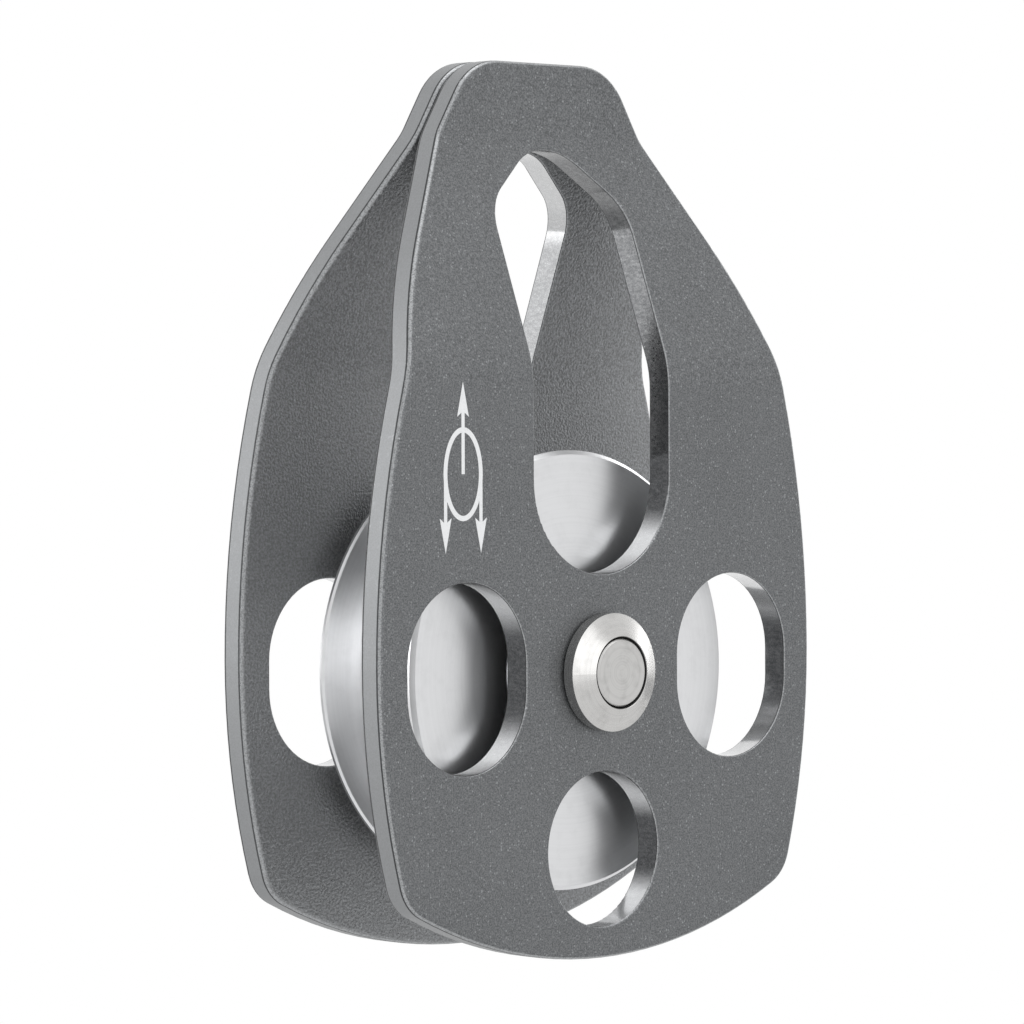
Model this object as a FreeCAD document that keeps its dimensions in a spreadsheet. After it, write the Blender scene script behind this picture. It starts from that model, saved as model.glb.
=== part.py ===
import FreeCAD, Part
import math
import os
import Sketcher

# Rope pulley with swinging side plates.  Millimetres, +Z up, the axle along Y
# and its centre at the origin.  The front plate is on the -Y side.

doc = FreeCAD.newDocument("rope_pulley")
sheet = doc.addObject("Spreadsheet::Sheet", "sizes")

SIZES = [
    # Side plates
    ("plate_thickness", 4.15),
    ("plate_half_width", 44.6),
    ("plate_top", 89.0),
    ("plate_bottom", 41.7),
    ("widest_height", 2.0),
    ("upper_side_radius", 150.0),
    ("lower_side_radius", 112.0),
    ("shoulder_height", 44.0),
    ("shoulder_radius", 80.0),
    ("top_inset", 35.8),
    ("top_corner_radius", 10.0),
    ("bottom_radius", 84.0),
    ("bottom_corner_radius", 7.0),
    ("bend_start", 41.1),
    ("tab_height", 10.0),
    ("lower_bend_radius", 14.0),
    ("upper_bend_radius", 6.0),
    ("tab_clearance", 0.1),
    ("outline_rounding", 0.75),
    ("hole_rounding", 0.3),
    ("blank_margin", 8.0),
    # Openings in the plates
    ("eye_half_width", 14.0),
    ("eye_bottom", 14.2),
    ("eye_bridge", 12.8),
    ("eye_peak_height", 12.2),
    ("eye_shoulder_radius", 8.0),
    ("eye_top_radius", 10.0),
    ("side_web", 5.5),
    ("slot_half_width", 11.7),
    ("slot_half_height", 13.7),
    ("lower_web", 4.55),
    ("lower_hole_radius", 11.35),
    # Sheave
    ("groove_depth", 9.2),
    ("groove_radius", 7.75),
    ("groove_root_radius", 23.0),
    ("groove_flank_angle", 20.0),
    ("rim_bevel", 0.6),
    ("groove_edge_bevel", 0.3),
    ("rim_land", 0.434),
    ("side_clearance", 2.4),
    ("sheave_shoulder_height", 2.0),
    ("bore_bevel", 0.5),
    # Axle and what is held on it
    ("axle_radius", 5.0),
    ("axle_end_bevel", 0.3),
    ("seat_clearance", 0.01),
    ("pivot_clearance", 0.05),
    ("end_float", 0.1),
    ("bush_wall", 1.5),
    ("washer_radius", 8.6),
    ("washer_boss_radius", 7.2),
    ("washer_boss_height", 0.4),
    ("collar_radius", 8.6),
    ("collar_rim", 2.05),
    ("collar_height", 3.65),
    ("collar_base_bevel", 0.3),
    ("collar_mouth_gap", 0.35),
    ("spacer_wall", 1.6),
    # Ball bearings
    ("bearing_radius", 13.0),
    ("bearing_width", 8.0),
    ("inner_ring_radius", 7.35),
    ("outer_ring_land", 10.7),
    ("pitch_radius", 9.0),
    ("ball_radius", 2.38),
    ("race_clearance", 0.07),
    ("ring_bevel", 0.3),
    ("seal_seat_radius", 11.3),
    ("seal_thickness", 0.6),
    ("seal_recess", 0.1),
    ("seal_gap", 0.1),
    ("cage_inner_radius", 8.4),
    ("cage_outer_radius", 9.6),
    ("cage_half_width", 2.95),
    ("cage_pocket_clearance", 0.15),
]
BALL_COUNT = 7

# Sizes that follow from the ones above.
DERIVED = [
    ("sheave_radius", "groove_root_radius + groove_depth"),
    ("groove_centre", "groove_root_radius + groove_radius"),
    ("flank_start_radius", "groove_centre - groove_radius * sin(groove_flank_angle)"),
    ("flank_start_width", "groove_radius * cos(groove_flank_angle)"),
    ("flank_end_radius", "sheave_radius - groove_edge_bevel"),
    ("flank_end_width",
     "flank_start_width + (flank_end_radius - flank_start_radius) * tan(groove_flank_angle)"),
    ("rim_inner_width", "flank_end_width + groove_edge_bevel"),
    ("rim_edge", "rim_inner_width + rim_land"),
    ("half_sheave", "rim_edge + rim_bevel"),
    ("inner_face", "half_sheave + side_clearance"),
    ("outer_face", "inner_face + plate_thickness"),
    ("tab_outer_face", "tab_clearance + plate_thickness"),
    ("blank_half_width", "plate_half_width + blank_margin"),
    ("blank_top", "plate_top + blank_margin"),
    ("blank_bottom", "plate_bottom + blank_margin"),
    ("bend_end", "plate_top - tab_height"),
    ("top_corner_height", "plate_top - top_corner_radius"),
    ("top_half_flat", "plate_half_width - top_inset"),
    ("slot_offset", "plate_half_width - side_web - slot_half_width"),
    ("slot_straight", "slot_half_height - slot_half_width"),
    ("lower_hole_depth", "plate_bottom - lower_web - lower_hole_radius"),
    ("eye_top", "plate_top - eye_bridge"),
    ("eye_side_end", "eye_top - eye_peak_height"),
    ("eye_peak_centre", "eye_top - eye_top_radius"),
    ("eye_bottom_centre", "eye_bottom + eye_half_width"),
    ("bush_radius", "axle_radius + bush_wall"),
    ("pivot_radius", "bush_radius + pivot_clearance"),
    ("bore_on_axle", "axle_radius + seat_clearance"),
    ("sheave_face_radius", "sheave_radius - rim_bevel"),
    ("sheave_bore", "bearing_radius + seat_clearance"),
    ("sheave_bore_mouth", "sheave_bore + bore_bevel"),
    ("sheave_shoulder_radius", "bearing_radius - sheave_shoulder_height"),
    ("half_shoulder", "half_sheave - bearing_width"),
    ("bore_mouth_edge", "half_sheave - bore_bevel"),
    ("washer_outer", "inner_face - end_float"),
    ("washer_step", "half_sheave + washer_boss_height"),
    ("collar_base", "outer_face + end_float"),
    ("collar_rim_end", "collar_base + collar_rim"),
    ("collar_end", "collar_base + collar_height"),
    ("collar_base_edge", "collar_base + collar_base_bevel"),
    ("collar_base_radius", "collar_radius - collar_base_bevel"),
    ("collar_mouth_radius", "axle_radius + collar_mouth_gap"),
    ("collar_mouth_edge", "collar_end - collar_mouth_gap"),
    ("axle_end_edge", "collar_end - axle_end_bevel"),
    ("axle_end_radius", "axle_radius - axle_end_bevel"),
    ("spacer_radius", "axle_radius + spacer_wall"),
    ("bearing_offset", "half_shoulder + bearing_width / 2"),
    ("half_bearing", "bearing_width / 2"),
    ("ring_face", "half_bearing - ring_bevel"),
    ("inner_bore_bevelled", "bore_on_axle + ring_bevel"),
    ("bearing_edge_radius", "bearing_radius - ring_bevel"),
    ("race_radius", "ball_radius + race_clearance"),
    ("inner_race_half_width", "sqrt(race_radius ^ 2 - (pitch_radius - inner_ring_radius) ^ 2)"),
    ("outer_race_half_width", "sqrt(race_radius ^ 2 - (outer_ring_land - pitch_radius) ^ 2)"),
    ("seal_outer_face", "half_bearing - seal_recess"),
    ("seal_inner_face", "seal_outer_face - seal_thickness"),
    ("seal_outer_radius", "seal_seat_radius - seat_clearance"),
    ("seal_inner_radius", "inner_ring_radius + seal_gap"),
    ("pocket_radius", "ball_radius + cage_pocket_clearance"),
]

row = 0
for alias, number in SIZES:
    row += 1
    sheet.set("A%d" % row, alias)
    sheet.set("B%d" % row, repr(number))
    sheet.setAlias("B%d" % row, alias)
for alias, rule in DERIVED:
    row += 1
    sheet.set("A%d" % row, alias)
    sheet.set("B%d" % row, "=" + rule.replace("_angle)", "_angle * 1 deg)"))
    sheet.setAlias("B%d" % row, alias)
doc.recompute()


def size(name):
    """Number of a signed alias: 'plate_top', '-plate_top' or '0'."""
    if name == "0":
        return 0.0
    sign = -1.0 if name[0] == "-" else 1.0
    return sign * float(sheet.get(name.lstrip("-")))


def link(name, unit="mm"):
    """Expression that follows a signed alias."""
    sign = "-" if name[0] == "-" else ""
    return "%s%s.%s * 1 %s" % (sign, sheet.Name, name.lstrip("-"), unit)


def new_body(label):
    body = doc.addObject("PartDesign::Body", label)
    body.Label = label
    return body


def origin_part(body, role):
    for item in body.Origin.OriginFeatures:
        if item.Role == role:
            return item
    raise RuntimeError("no origin feature " + role)


def new_sketch(body, role, name):
    sketch = body.newObject("Sketcher::SketchObject", name)
    sketch.AttachmentSupport = [(origin_part(body, role), "")]
    sketch.MapMode = "FlatFace"
    doc.recompute()
    return sketch


def vector(point):
    return FreeCAD.Vector(point[0], point[1], 0)


def arc_through(start, end, radius, bulge):
    """Arc from start to end, bulging left (+1) or right (-1) of the way."""
    a = vector(start)
    b = vector(end)
    chord = b - a
    left = FreeCAD.Vector(-chord.y, chord.x, 0).normalize()
    half = chord.Length / 2
    sagitta = radius - math.sqrt(max(radius ** 2 - half ** 2, 0.0))
    middle = (a + b) * 0.5 + left * (bulge * sagitta)
    return Part.Arc(a, middle, b)


def datum(sketch, constraint, name, unit="mm"):
    index = sketch.addConstraint(constraint)
    sketch.setExpression("Constraints[%d]" % index, link(name, unit))
    return index


def pin_point(sketch, geo, pos, x_name, y_name):
    """Hold one end of a piece of geometry at two named coordinates."""
    if x_name == "0":
        sketch.addConstraint(Sketcher.Constraint("PointOnObject", geo, pos, -2))
    elif x_name:
        c = Sketcher.Constraint("DistanceX", -1, 1, geo, pos, size(x_name))
        datum(sketch, c, x_name)
    if y_name == "0":
        sketch.addConstraint(Sketcher.Constraint("PointOnObject", geo, pos, -1))
    elif y_name:
        c = Sketcher.Constraint("DistanceY", -1, 1, geo, pos, size(y_name))
        datum(sketch, c, y_name)


def closed_profile(body, role, name, points, arcs=None):
    """Closed outline through named points; arcs[i] = (radius name, bulge)
    makes the side that leaves point i an arc."""
    arcs = arcs or {}
    sketch = new_sketch(body, role, name)
    places = [(size(x), size(y)) for x, y in points]
    count = len(points)
    for i in range(count):
        start = places[i]
        end = places[(i + 1) % count]
        if i in arcs:
            radius, bulge = arcs[i]
            sketch.addGeometry(arc_through(start, end, size(radius), bulge), False)
        else:
            sketch.addGeometry(Part.LineSegment(vector(start), vector(end)), False)
    starts = []
    ends = []
    for i in range(count):
        # An arc is stored anticlockwise, so its start may be the far point.
        first = sketch.getPoint(i, 1)
        forward = (first - vector(places[i])).Length < 1e-6
        starts.append(1 if forward else 2)
        ends.append(2 if forward else 1)
    for i in range(count):
        after = (i + 1) % count
        c = Sketcher.Constraint("Coincident", i, ends[i], after, starts[after])
        sketch.addConstraint(c)
    for i, (x_name, y_name) in enumerate(points):
        pin_point(sketch, i, starts[i], x_name, y_name)
    for i, (radius, bulge) in arcs.items():
        datum(sketch, Sketcher.Constraint("Radius", i, size(radius)), radius)
    return sketch


def revolve(body, sketch, name):
    turn = body.newObject("PartDesign::Revolution", name)
    turn.Profile = sketch
    turn.ReferenceAxis = (sketch, ["V_Axis"])
    turn.Angle = 360.0
    sketch.Visibility = False
    return turn


def turned(label, points, arcs=None):
    """A turned piece: its half section is drawn as (radius, place along Y)."""
    body = new_body(label)
    sketch = closed_profile(body, "XY_Plane", label + "_section", points, arcs)
    revolve(body, sketch, label + "_turning")
    return body


def through_pocket(body, sketch, name):
    before = body.Shape.Volume
    pocket = body.newObject("PartDesign::Pocket", name)
    pocket.Profile = sketch
    pocket.Type = "ThroughAll"
    pocket.Midplane = True
    sketch.Visibility = False
    doc.recompute()
    if body.Shape.Volume > before - 1.0:
        raise RuntimeError(name + " cut nothing")
    return pocket


def near_end(sketch, geo, point):
    """1 or 2: the end of a piece of geometry that lies on the point."""
    gap = (sketch.getPoint(geo, 1) - vector(point)).Length
    return 1 if gap < 1e-6 else 2


def smooth_joints(sketch, joints):
    """Tangent joints between neighbours, given as (first, second, point)."""
    for first, second, point in joints:
        c = Sketcher.Constraint("Tangent", first, near_end(sketch, first, point),
                                second, near_end(sketch, second, point))
        sketch.addConstraint(c)


def polar(centre, radius, angle):
    return (centre[0] + radius * math.cos(angle), centre[1] + radius * math.sin(angle))


def bend_section(body):
    """Side view of the bent sheet: sketch x is along Y, sketch y is along Z."""
    sketch = new_sketch(body, "YZ_Plane", "bend_section")
    t = size("plate_thickness")
    low_r = size("lower_bend_radius")
    up_r = size("upper_bend_radius")
    low_centre = (-size("inner_face") + low_r, size("bend_start"))
    up_centre = (-size("tab_outer_face") - up_r, size("bend_end"))
    across = (up_centre[0] - low_centre[0], up_centre[1] - low_centre[1])
    reach = math.hypot(across[0], across[1])
    # The slanted faces touch one bend's circle on each side.
    lean = math.asin((low_r + up_r + t) / reach) - math.asin(-across[0] / reach)
    turn_low = math.pi - lean
    turn_up = -lean
    inner = [
        (-size("inner_face"), -size("blank_bottom")),
        (-size("inner_face"), low_centre[1]),
        polar(low_centre, low_r, turn_low),
        polar(up_centre, up_r + t, turn_up),
        (-size("tab_clearance"), up_centre[1]),
        (-size("tab_clearance"), size("blank_top")),
    ]
    outer = [
        (-size("tab_outer_face"), size("blank_top")),
        (-size("tab_outer_face"), up_centre[1]),
        polar(up_centre, up_r, turn_up),
        polar(low_centre, low_r + t, turn_low),
        (-size("outer_face"), low_centre[1]),
        (-size("outer_face"), -size("blank_bottom")),
    ]
    points = inner + outer
    mid_low = math.pi - lean / 2
    mid_up = -lean / 2
    middles = {
        1: polar(low_centre, low_r, mid_low),
        3: polar(up_centre, up_r + t, mid_up),
        7: polar(up_centre, up_r, mid_up),
        9: polar(low_centre, low_r + t, mid_low),
    }
    count = len(points)
    for i in range(count):
        a = vector(points[i])
        b = vector(points[(i + 1) % count])
        if i in middles:
            sketch.addGeometry(Part.Arc(a, vector(middles[i]), b), False)
        else:
            sketch.addGeometry(Part.LineSegment(a, b), False)
    for i in range(count):
        after = (i + 1) % count
        joint = points[after]
        kind = "Tangent" if (i in middles or after in middles) else "Coincident"
        sketch.addConstraint(Sketcher.Constraint(
            kind, i, near_end(sketch, i, joint), after, near_end(sketch, after, joint)))
    for geo in (0, 4, 6, 10):
        sketch.addConstraint(Sketcher.Constraint("Vertical", geo))
    for geo in (5, 11):
        sketch.addConstraint(Sketcher.Constraint("Horizontal", geo))
    pin_point(sketch, 0, 1, "-inner_face", "-blank_bottom")
    pin_point(sketch, 10, 2, "-outer_face", "")
    pin_point(sketch, 4, 2, "-tab_clearance", "blank_top")
    pin_point(sketch, 6, 1, "-tab_outer_face", "")
    pin_point(sketch, 1, 3, "", "bend_start")
    pin_point(sketch, 7, 3, "", "bend_end")
    c = Sketcher.Constraint("Radius", 1, low_r)
    datum(sketch, c, "lower_bend_radius")
    c = Sketcher.Constraint("Radius", 7, up_r)
    datum(sketch, c, "upper_bend_radius")
    sketch.addConstraint(Sketcher.Constraint("Coincident", 1, 3, 9, 3))
    sketch.addConstraint(Sketcher.Constraint("Coincident", 3, 3, 7, 3))
    return sketch


def outline_points():
    """Half outline of the plate in its flat view, from bottom to top."""
    middle = size("widest_height")
    width = size("plate_half_width")
    upper = (width - size("upper_side_radius"), middle)
    lower = (width - size("lower_side_radius"), middle)
    bottom = (0.0, size("bottom_radius") - size("plate_bottom"))
    corner_r = size("bottom_corner_radius")
    # The corner's centre lies on two circles, one inside each neighbour.
    r1 = size("lower_side_radius") - corner_r
    r2 = size("bottom_radius") - corner_r
    dx = bottom[0] - lower[0]
    dy = bottom[1] - lower[1]
    d = math.hypot(dx, dy)
    along = (r1 ** 2 - r2 ** 2 + d ** 2) / (2 * d)
    off = math.sqrt(r1 ** 2 - along ** 2)
    corner = (lower[0] + (along * dx + off * dy) / d, lower[1] + (along * dy - off * dx) / d)
    side_turn = math.atan2(corner[1] - lower[1], corner[0] - lower[0])
    bottom_turn = math.atan2(corner[1] - bottom[1], corner[0] - bottom[0])
    first = math.asin((size("shoulder_height") - middle) / size("upper_side_radius"))
    shoulder_start = polar(upper, size("upper_side_radius"), first)
    shoulder_centre = polar(shoulder_start, -size("shoulder_radius"), first)
    # The neck is the straight line that touches the shoulder and the top corner.
    top_centre = (size("top_half_flat"), size("top_corner_height"))
    rise = math.atan2(top_centre[1] - shoulder_centre[1], top_centre[0] - shoulder_centre[0])
    reach = math.dist(top_centre, shoulder_centre)
    step = size("shoulder_radius") - size("top_corner_radius")
    second = rise - math.acos(step / reach)
    points = [
        (0.0, -size("plate_bottom")),
        polar(bottom, size("bottom_radius"), bottom_turn),
        polar(lower, size("lower_side_radius"), side_turn),
        (width, middle),
        shoulder_start,
        polar(shoulder_centre, size("shoulder_radius"), second),
        polar(top_centre, size("top_corner_radius"), second),
        (top_centre[0], size("plate_top")),
        (0.0, size("plate_top")),
    ]
    radii = {
        0: "bottom_radius",
        1: "bottom_corner_radius",
        2: "lower_side_radius",
        3: "upper_side_radius",
        4: "shoulder_radius",
        6: "top_corner_radius",
    }
    return points, radii


def outline_waste(body):
    """Everything of the blank that lies outside the right half outline."""
    sketch = new_sketch(body, "XZ_Plane", "outline_waste")
    points, radii = outline_points()
    for i in range(len(points) - 1):
        a = points[i]
        b = points[i + 1]
        if i in radii:
            sketch.addGeometry(arc_through(a, b, size(radii[i]), -1), False)
        else:
            sketch.addGeometry(Part.LineSegment(vector(a), vector(b)), False)
    margin = [
        points[-1],
        (0.0, size("blank_top")),
        (size("blank_half_width"), size("blank_top")),
        (size("blank_half_width"), -size("blank_bottom")),
        (0.0, -size("blank_bottom")),
        points[0],
    ]
    first_line = len(points) - 1
    for i in range(len(margin) - 1):
        sketch.addGeometry(Part.LineSegment(vector(margin[i]), vector(margin[i + 1])), False)
    joints = [(i, i + 1, points[i + 1]) for i in range(first_line - 1)]
    smooth_joints(sketch, joints)
    corners = [(first_line - 1, first_line, margin[0])]
    corners += [(first_line + i, first_line + i + 1, margin[i + 1]) for i in range(4)]
    corners.append((first_line + 4, 0, margin[5]))
    for a, b, point in corners:
        c = Sketcher.Constraint("Coincident", a, near_end(sketch, a, point),
                                b, near_end(sketch, b, point))
        sketch.addConstraint(c)
    for i, radius in radii.items():
        datum(sketch, Sketcher.Constraint("Radius", i, size(radius)), radius)
    pin_point(sketch, 0, 3, "0", "")
    pin_point(sketch, 0, near_end(sketch, 0, points[0]), "0", "-plate_bottom")
    pin_point(sketch, 3, near_end(sketch, 3, points[3]), "plate_half_width", "widest_height")
    pin_point(sketch, 3, 3, "", "widest_height")
    pin_point(sketch, 4, near_end(sketch, 4, points[4]), "", "shoulder_height")
    pin_point(sketch, 6, 3, "top_half_flat", "")
    sketch.addConstraint(Sketcher.Constraint("Horizontal", 7))
    pin_point(sketch, 7, 2, "0", "plate_top")
    pin_point(sketch, first_line, 2, "0", "blank_top")
    pin_point(sketch, first_line + 1, 2, "blank_half_width", "blank_top")
    pin_point(sketch, first_line + 2, 2, "blank_half_width", "-blank_bottom")
    pin_point(sketch, first_line + 3, 2, "0", "-blank_bottom")
    return sketch


def eye_sketch(body):
    """The carabiner eye: upright, round at the bottom, peaked at the top."""
    sketch = new_sketch(body, "XZ_Plane", "eye_outline")
    half = size("eye_half_width")
    shoulder_r = size("eye_shoulder_radius")
    top_r = size("eye_top_radius")
    top_centre = (0.0, size("eye_peak_centre"))
    side_centre = (half - shoulder_r, size("eye_side_end"))
    dx = side_centre[0] - top_centre[0]
    dy = side_centre[1] - top_centre[1]
    slope = math.acos((top_r - shoulder_r) / math.hypot(dx, dy)) + math.atan2(dy, dx)
    peak = polar(top_centre, top_r, slope)
    shoulder = polar(side_centre, shoulder_r, slope)
    right = [(half, size("eye_bottom_centre")), (half, side_centre[1]), shoulder, peak]
    left = [(-x, z) for x, z in reversed(right)]
    points = right + left
    bends = {1: (shoulder_r, -1), 3: (top_r, -1), 5: (shoulder_r, -1)}
    for i in range(len(points) - 1):
        if i in bends:
            radius, bulge = bends[i]
            sketch.addGeometry(arc_through(points[i], points[i + 1], radius, bulge), False)
        else:
            sketch.addGeometry(Part.LineSegment(vector(points[i]), vector(points[i + 1])), False)
    low = (0.0, size("eye_bottom"))
    sketch.addGeometry(Part.Arc(vector(points[-1]), vector(low), vector(points[0])), False)
    count = len(points)
    smooth_joints(sketch, [(i, (i + 1) % count, points[(i + 1) % count]) for i in range(count)])
    sketch.addConstraint(Sketcher.Constraint("Vertical", 0))
    sketch.addConstraint(Sketcher.Constraint("Vertical", 6))
    pin_point(sketch, 0, 1, "eye_half_width", "eye_bottom_centre")
    pin_point(sketch, 6, 2, "-eye_half_width", "")
    pin_point(sketch, 3, 3, "0", "eye_peak_centre")
    pin_point(sketch, 1, 3, "", "eye_side_end")
    pin_point(sketch, 5, 3, "", "eye_side_end")
    datum(sketch, Sketcher.Constraint("Radius", 1, shoulder_r), "eye_shoulder_radius")
    datum(sketch, Sketcher.Constraint("Radius", 5, shoulder_r), "eye_shoulder_radius")
    datum(sketch, Sketcher.Constraint("Radius", 3, top_r), "eye_top_radius")
    return sketch


def slot_sketch(body):
    """Two upright slots, one on each side of the axle."""
    sketch = new_sketch(body, "XZ_Plane", "slot_outlines")
    offset = size("slot_offset")
    half = size("slot_half_width")
    straight = size("slot_straight")
    for side in (1, -1):
        middle = side * offset
        first = len(sketch.Geometry)
        corners = [(middle + half, -straight), (middle + half, straight),
                   (middle - half, straight), (middle - half, -straight)]
        ends = [(middle, straight + half), (middle, -straight - half)]
        sketch.addGeometry(Part.LineSegment(vector(corners[0]), vector(corners[1])), False)
        sketch.addGeometry(Part.Arc(vector(corners[1]), vector(ends[0]), vector(corners[2])), False)
        sketch.addGeometry(Part.LineSegment(vector(corners[2]), vector(corners[3])), False)
        sketch.addGeometry(Part.Arc(vector(corners[3]), vector(ends[1]), vector(corners[0])), False)
        smooth_joints(sketch, [(first + i, first + (i + 1) % 4, corners[(i + 1) % 4])
                               for i in range(4)])
        sketch.addConstraint(Sketcher.Constraint("Vertical", first))
        place = "slot_offset" if side > 0 else "-slot_offset"
        pin_point(sketch, first + 1, 3, place, "slot_straight")
        pin_point(sketch, first + 3, 3, place, "-slot_straight")
        datum(sketch, Sketcher.Constraint("Radius", first + 1, half), "slot_half_width")
    return sketch


def circle_sketch(body, name, centre_z, radius):
    sketch = new_sketch(body, "XZ_Plane", name)
    centre = FreeCAD.Vector(0, size(centre_z), 0)
    sketch.addGeometry(Part.Circle(centre, FreeCAD.Vector(0, 0, 1), size(radius)), False)
    pin_point(sketch, 0, 3, "0", centre_z)
    datum(sketch, Sketcher.Constraint("Radius", 0, size(radius)), radius)
    return sketch


def sheet_edges(shape):
    """Edges where a face of the sheet meets a wall cut square through it."""
    names = []
    for number, edge in enumerate(shape.Edges, 1):
        middle = edge.valueAt((edge.FirstParameter + edge.LastParameter) / 2)
        faces = shape.ancestorsOfType(edge, Part.Face)
        wall = 0
        skin = 0
        for face in faces:
            u, v = face.Surface.parameter(middle)
            normal = face.normalAt(u, v)
            if abs(normal.y) < 1e-4:
                wall += 1
            elif abs(normal.x) < 1e-4 and abs(normal.y) > 0.5:
                skin += 1
        if wall == 1 and skin == 1:
            names.append("Edge%d" % number)
    return names


def round_edges(body, feature, name, radius):
    doc.recompute()
    fillet = body.newObject("PartDesign::Fillet", name)
    fillet.Base = (feature, sheet_edges(feature.Shape))
    fillet.Radius = size(radius)
    fillet.setExpression("Radius", link(radius))
    doc.recompute()
    return fillet


def side_plate(label, turn):
    """One bent side plate; the rear one is the same piece turned half round."""
    body = new_body(label)
    section = bend_section(body)
    blank = body.newObject("PartDesign::Pad", "blank")
    blank.Profile = section
    blank.Midplane = True
    blank.Length = 2 * size("blank_half_width")
    blank.setExpression("Length", "2 * sizes.blank_half_width * 1 mm")
    section.Visibility = False
    doc.recompute()
    waste = outline_waste(body)
    right = through_pocket(body, waste, "right_outline")
    left = body.newObject("PartDesign::Mirrored", "left_outline")
    left.Originals = [right]
    left.MirrorPlane = (waste, ["V_Axis"])
    body.Tip = left
    rounded = round_edges(body, left, "outline_round", "outline_rounding")
    body.Tip = rounded
    through_pocket(body, eye_sketch(body), "carabiner_eye")
    through_pocket(body, slot_sketch(body), "side_slots")
    low = circle_sketch(body, "lower_hole_outline", "-lower_hole_depth", "lower_hole_radius")
    through_pocket(body, low, "lower_hole")
    pivot = circle_sketch(body, "pivot_outline", "0", "pivot_radius")
    last = through_pocket(body, pivot, "pivot_hole")
    round_edges(body, last, "hole_round", "hole_rounding")
    body.Placement = FreeCAD.Placement(
        FreeCAD.Vector(0, 0, 0), FreeCAD.Rotation(FreeCAD.Vector(0, 0, 1), turn))
    return body


def half_turn(body):
    """Turn a piece drawn on the +Y side round to the -Y side."""
    body.Placement = FreeCAD.Placement(
        FreeCAD.Vector(0, 0, 0), FreeCAD.Rotation(FreeCAD.Vector(0, 0, 1), 180))


def sheave():
    """The rope wheel: a round-bottomed groove and a seat for each bearing."""
    half = [
        ("sheave_shoulder_radius", "half_shoulder"),
        ("sheave_bore", "half_shoulder"),
        ("sheave_bore", "bore_mouth_edge"),
        ("sheave_bore_mouth", "half_sheave"),
        ("sheave_face_radius", "half_sheave"),
        ("sheave_radius", "rim_edge"),
        ("sheave_radius", "rim_inner_width"),
        ("flank_end_radius", "flank_end_width"),
        ("flank_start_radius", "flank_start_width"),
    ]
    other = [(radius, "-" + place) for radius, place in reversed(half)]
    return turned("sheave", half + other, {len(half) - 1: ("groove_radius", -1)})


def axle_pieces():
    """The axle and every plain ring held on it."""
    turned("axle", [
        ("0", "-collar_end"), ("axle_end_radius", "-collar_end"),
        ("axle_radius", "-axle_end_edge"), ("axle_radius", "axle_end_edge"),
        ("axle_end_radius", "collar_end"), ("0", "collar_end"),
    ])
    turned("bearing_spacer", [
        ("bore_on_axle", "-half_shoulder"), ("spacer_radius", "-half_shoulder"),
        ("spacer_radius", "half_shoulder"), ("bore_on_axle", "half_shoulder"),
    ])
    for side in ("rear", "front"):
        rings = [
            turned(side + "_collar", [
                ("bore_on_axle", "collar_base"), ("collar_base_radius", "collar_base"),
                ("collar_radius", "collar_base_edge"), ("collar_radius", "collar_rim_end"),
                ("collar_mouth_radius", "collar_end"), ("bore_on_axle", "collar_mouth_edge"),
            ]),
            turned(side + "_plate_bush", [
                ("bore_on_axle", "washer_outer"), ("bush_radius", "washer_outer"),
                ("bush_radius", "collar_base"), ("bore_on_axle", "collar_base"),
            ]),
            turned(side + "_thrust_washer", [
                ("bore_on_axle", "half_sheave"), ("washer_boss_radius", "half_sheave"),
                ("washer_boss_radius", "washer_step"), ("washer_radius", "washer_step"),
                ("washer_radius", "washer_outer"), ("bore_on_axle", "washer_outer"),
            ]),
        ]
        if side == "front":
            for ring in rings:
                half_turn(ring)


def place_on_axle(piece, side):
    """Move a bearing piece from the middle to its seat."""
    sign = "-" if side == "front" else ""
    piece.Placement = FreeCAD.Placement(
        FreeCAD.Vector(0, size(sign + "bearing_offset"), 0), FreeCAD.Rotation())
    piece.setExpression("Placement.Base.y", link(sign + "bearing_offset"))


def seal(label, sign):
    return turned(label, [
        ("seal_inner_radius", sign + "seal_inner_face"),
        ("seal_outer_radius", sign + "seal_inner_face"),
        ("seal_outer_radius", sign + "seal_outer_face"),
        ("seal_inner_radius", sign + "seal_outer_face"),
    ])


def ball_set(label):
    balls = []
    for number in range(BALL_COUNT):
        ball = doc.addObject("Part::Sphere", "%s_%d" % (label, number + 1))
        angle = 360.0 * number / BALL_COUNT
        ball.Radius = size("ball_radius")
        ball.setExpression("Radius", link("ball_radius"))
        turn = math.radians(angle)
        ball.Placement.Base = FreeCAD.Vector(
            size("pitch_radius") * math.cos(turn), 0, size("pitch_radius") * math.sin(turn))
        rule = "sizes.pitch_radius * %s(%.9f deg) * 1 mm"
        ball.setExpression("Placement.Base.x", rule % ("cos", angle))
        ball.setExpression("Placement.Base.z", rule % ("sin", angle))
        balls.append(ball)
    group = doc.addObject("Part::Compound", label)
    group.Label = label
    group.Links = balls
    return group


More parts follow.
